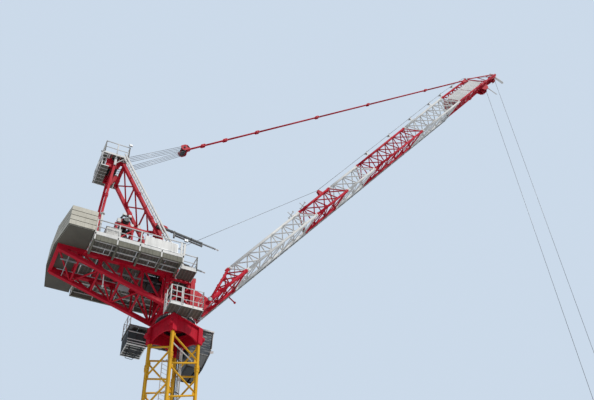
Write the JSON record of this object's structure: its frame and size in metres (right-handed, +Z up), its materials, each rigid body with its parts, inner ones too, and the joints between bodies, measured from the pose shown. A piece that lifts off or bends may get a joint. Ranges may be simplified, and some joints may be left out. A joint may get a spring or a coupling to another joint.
{
  "type": "tower crane with a luffing jib, 1:2 scale model",
  "caption": "Yellow lattice mast under a red turret with counterweight and A-frame, a red and white banded luffing jib on pendant bars, ropes and a hook block",
  "frame": {"origin": "centre of the flat underside of the base frame, on the mast axis", "axes": "+X along the jib at rest, +Y away from the viewer, +Z up"},
  "size_m": [21.4997, 3.11, 36.9776],
  "materials": {
    "red_paint": "glossy signal red paint",
    "yellow_paint": "golden yellow paint",
    "white_paint": "white paint",
    "grey_steel": "grey paint and galvanised grating",
    "dark_steel": "dark oiled steel",
    "rope": "greased wire rope",
    "cab_glass": "dark tinted glass",
    "concrete": "cream painted concrete"
  },
  "bodies": {
    "mast": {"base_frame": "yellow_paint", "mast_side_1": "yellow_paint", "mast_side_2": "yellow_paint", "mast_side_3": "yellow_paint", "mast_side_4": "yellow_paint", "mast_ladder": "white_paint", "mast_cap": "red_paint", "slew_ring_lower": "dark_steel"},
    "upper": {"slew_ring_upper": "dark_steel", "turret": "red_paint", "turret_platform": "white_paint", "cabin": "white_paint", "cabin_glass": "cab_glass", "cab_walkway": "grey_steel", "electric_cabinet": "grey_steel", "counter_jib_near": "red_paint", "counter_jib_far": "red_paint", "counter_jib_bracing": "red_paint", "deck_floor": "grey_steel", "deck_railing": "white_paint", "counterweight": "concrete", "luffing_winch": "dark_steel", "deck_cabinet": "white_paint", "aframe_front": "red_paint", "aframe_ties": "red_paint", "aframe_head": "red_paint", "aframe_sheaves": "dark_steel", "head_platform": "white_paint", "aframe_ladder": "white_paint", "backstops": "grey_steel"},
    "jib": {"jib_foot": "red_paint", "jib_band_1": "white_paint", "jib_band_2": "red_paint", "jib_band_3": "white_paint", "jib_band_4": "red_paint", "jib_band_5": "white_paint", "jib_head": "red_paint", "head_sheaves": "dark_steel", "wind_panels": "white_paint"},
    "pendant": {"pendant_bars": "red_paint", "luffing_block": "red_paint"},
    "rope": {"luffing_rope_a": "rope"},
    "rope_end": {"luffing_rope_b": "rope"},
    "hook": {"hoist_ropes": "rope", "hook_block": "dark_steel"}
  },
  "joints": [
    {"name": "slew", "type": "hinge", "parent": "mast", "child": "upper", "pos_m": [0, 0, 14.6], "axis": [0, 0, 1], "continuous": true},
    {"name": "luff", "type": "hinge", "parent": "upper", "child": "jib", "pos_m": [0.812, 0, 15.425], "axis": [0, -1, 0], "range_deg": [-37, 20]},
    {"name": "pendant_swing", "type": "hinge", "parent": "jib", "child": "pendant", "pos_m": [15.18303, 0, 35.4089], "axis": [0, -1, 0], "range_deg": [-3, 3]},
    {"name": "rope_swing", "type": "hinge", "parent": "pendant", "child": "rope", "pos_m": [-0.31607, 0, 22.37656], "axis": [0, -1, 0], "range_deg": [-10, 17]},
    {"name": "rope_reeve", "type": "slide", "parent": "rope", "child": "rope_end", "axis": [-0.7654, 0, -0.6436], "range_m": [-2.4, 4.4], "deforming": ["luffing_rope_a", "luffing_rope_b"]},
    {"name": "hook_swing", "type": "hinge", "parent": "jib", "child": "hook", "pos_m": [17.27538, 0, 36.66072], "axis": [0, -1, 0], "range_deg": [-22, 39], "deforming": ["hoist_ropes"]}
  ],
  "couplings": [
    {"joint": "pendant_swing", "follows": "luff", "ratio": 0.05},
    {"joint": "rope_swing", "follows": "luff", "ratio": -0.3986},
    {"joint": "rope_reeve", "follows": "luff", "m_per_rad": -6.039},
    {"joint": "hook_swing", "follows": "luff", "ratio": -1}
  ]
}
